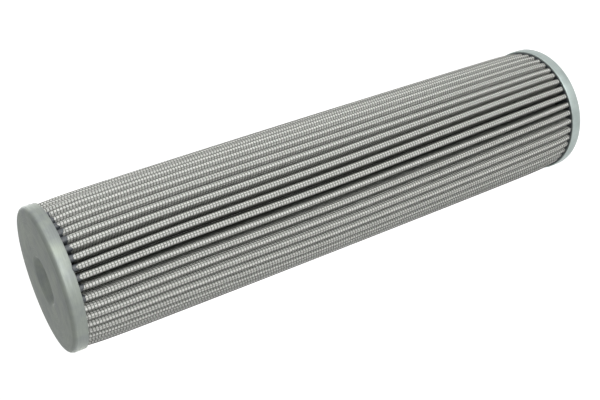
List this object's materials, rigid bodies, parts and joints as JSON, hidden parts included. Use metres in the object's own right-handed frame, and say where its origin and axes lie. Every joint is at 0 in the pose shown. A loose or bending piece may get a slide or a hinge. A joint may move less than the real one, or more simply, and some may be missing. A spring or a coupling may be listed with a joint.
{
  "type": "hydraulic filter element",
  "caption": "Pleated hydraulic filter element with wire cloth outside, a perforated centre tube, a closed dished end cap and an open end cap with a sealed bore.",
  "frame": {"origin": "centre of the open end cap's face, where the element stands", "axes": "+Z along the element's axis, from the open end to the closed end; the pack's side seam faces +Y"},
  "size_m": [0.07, 0.07, 0.3],
  "materials": {
    "closed_cap_steel": "zinc plated, drawn",
    "open_cap_steel": "zinc plated, drawn",
    "tube_steel": "zinc plated, perforated",
    "wire_cloth": "epoxy coated woven wire",
    "white_fleece": "matte nonwoven",
    "glass_fibre": "matte felted fibre",
    "potting_resin": "cured epoxy",
    "seal_rubber": "moulded nitrile"
  },
  "bodies": {
    "root": {"closed_end_cap": "closed_cap_steel", "open_end_cap": "open_cap_steel", "closed_end_resin": "potting_resin", "open_end_resin": "potting_resin", "centre_tube": "tube_steel", "seal_carrier_ring": "tube_steel", "bore_o_ring": "seal_rubber", "upstream_wire_cloth": "wire_cloth", "protective_fleece": "white_fleece", "prefilter_layer": "glass_fibre", "fine_filter_layer": "glass_fibre", "support_fleece": "white_fleece", "downstream_wire_cloth": "wire_cloth", "side_seam_clip": "tube_steel"}
  },
  "joints": []
}
